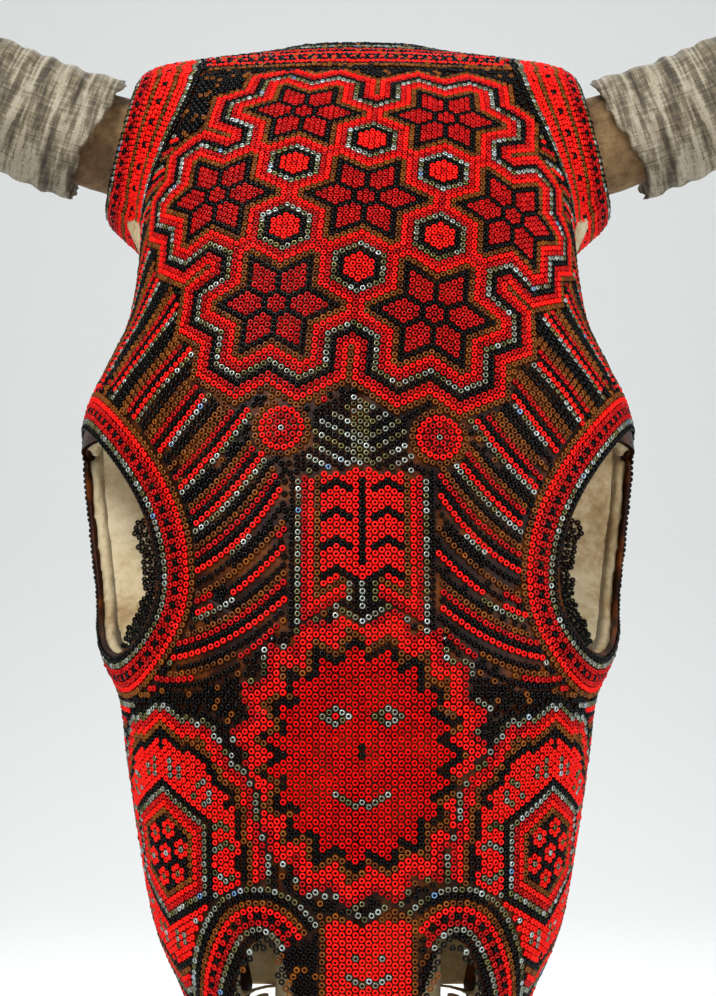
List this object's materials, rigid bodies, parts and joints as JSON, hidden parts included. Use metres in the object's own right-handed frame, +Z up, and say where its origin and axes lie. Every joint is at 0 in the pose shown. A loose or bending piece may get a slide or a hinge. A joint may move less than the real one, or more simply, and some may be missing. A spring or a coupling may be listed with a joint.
{
  "type": "beaded cattle skull",
  "caption": "Horned cattle skull hung nose down, its face covered in seed beads set in wax, with horn sheaths that slip off bony cores.",
  "frame": {"origin": "centre of the mouth of the foramen magnum, at the back of the skull", "axes": "+Z up with the skull hanging nose down, the face towards -Y, +Y along the axis of the foramen magnum and out of its mouth"},
  "size_m": [0.6146, 0.2044, 0.589],
  "materials": {
    "bone": "dry matte bone",
    "core": "porous bone",
    "teeth": "worn enamel",
    "keratin": "weathered horn",
    "wax": "beeswax",
    "beads": "opaque seed beads"
  },
  "bodies": {
    "skull": {"occipital_bone": "bone", "interparietal_bone": "bone", "basisphenoid_bone": "bone", "vomer": "bone", "frontal_bone_left": "bone", "frontal_bone_right": "bone", "temporal_bone_left": "bone", "temporal_bone_right": "bone", "zygomatic_arch_left": "bone", "zygomatic_arch_right": "bone", "orbitosphenoid_bone_left": "bone", "orbitosphenoid_bone_right": "bone", "nasal_bone_left": "bone", "nasal_bone_right": "bone", "lacrimal_bone_left": "bone", "lacrimal_bone_right": "bone", "zygomatic_bone_left": "bone", "zygomatic_bone_right": "bone", "maxilla_left": "bone", "maxilla_right": "bone", "premaxilla_left": "bone", "premaxilla_right": "bone", "palatine_bone_left": "bone", "palatine_bone_right": "bone", "pterygoid_bone_left": "bone", "pterygoid_bone_right": "bone", "nasal_turbinate_left": "bone", "nasal_turbinate_right": "bone", "cheek_teeth_left": "teeth", "cheek_teeth_right": "teeth", "horn_core_left": "core", "horn_core_right": "core", "wax_forehead_left": "wax", "wax_forehead_right": "wax", "wax_eye_rim_left": "wax", "wax_eye_rim_right": "wax", "wax_under_eye_left": "wax", "wax_under_eye_right": "wax", "wax_cheek_left": "wax", "wax_cheek_right": "wax", "wax_nose_left": "wax", "wax_nose_right": "wax", "wax_muzzle_left": "wax", "wax_muzzle_right": "wax", "beads_forehead_left": "beads", "beads_forehead_right": "beads", "beads_eye_rim_left": "beads", "beads_eye_rim_right": "beads", "beads_under_eye_left": "beads", "beads_under_eye_right": "beads", "beads_cheek_left": "beads", "beads_cheek_right": "beads", "beads_nose_left": "beads", "beads_nose_right": "beads", "beads_muzzle_left": "beads", "beads_muzzle_right": "beads"},
    "sheath_left": {"horn_sheath_left": "keratin"},
    "sheath_right": {"horn_sheath_right": "keratin"}
  },
  "joints": [
    {"name": "sheath_slip_left", "type": "hinge", "parent": "skull", "child": "sheath_left", "pos_m": [0.0002, -0.18, 0.32678], "axis": [0, 0.9063, 0.4226], "range_deg": [0, 34]},
    {"name": "sheath_slip_right", "type": "hinge", "parent": "skull", "child": "sheath_right", "pos_m": [-0.0002, -0.18, 0.32678], "axis": [0, -0.9063, -0.4226], "range_deg": [0, 34]}
  ]
}
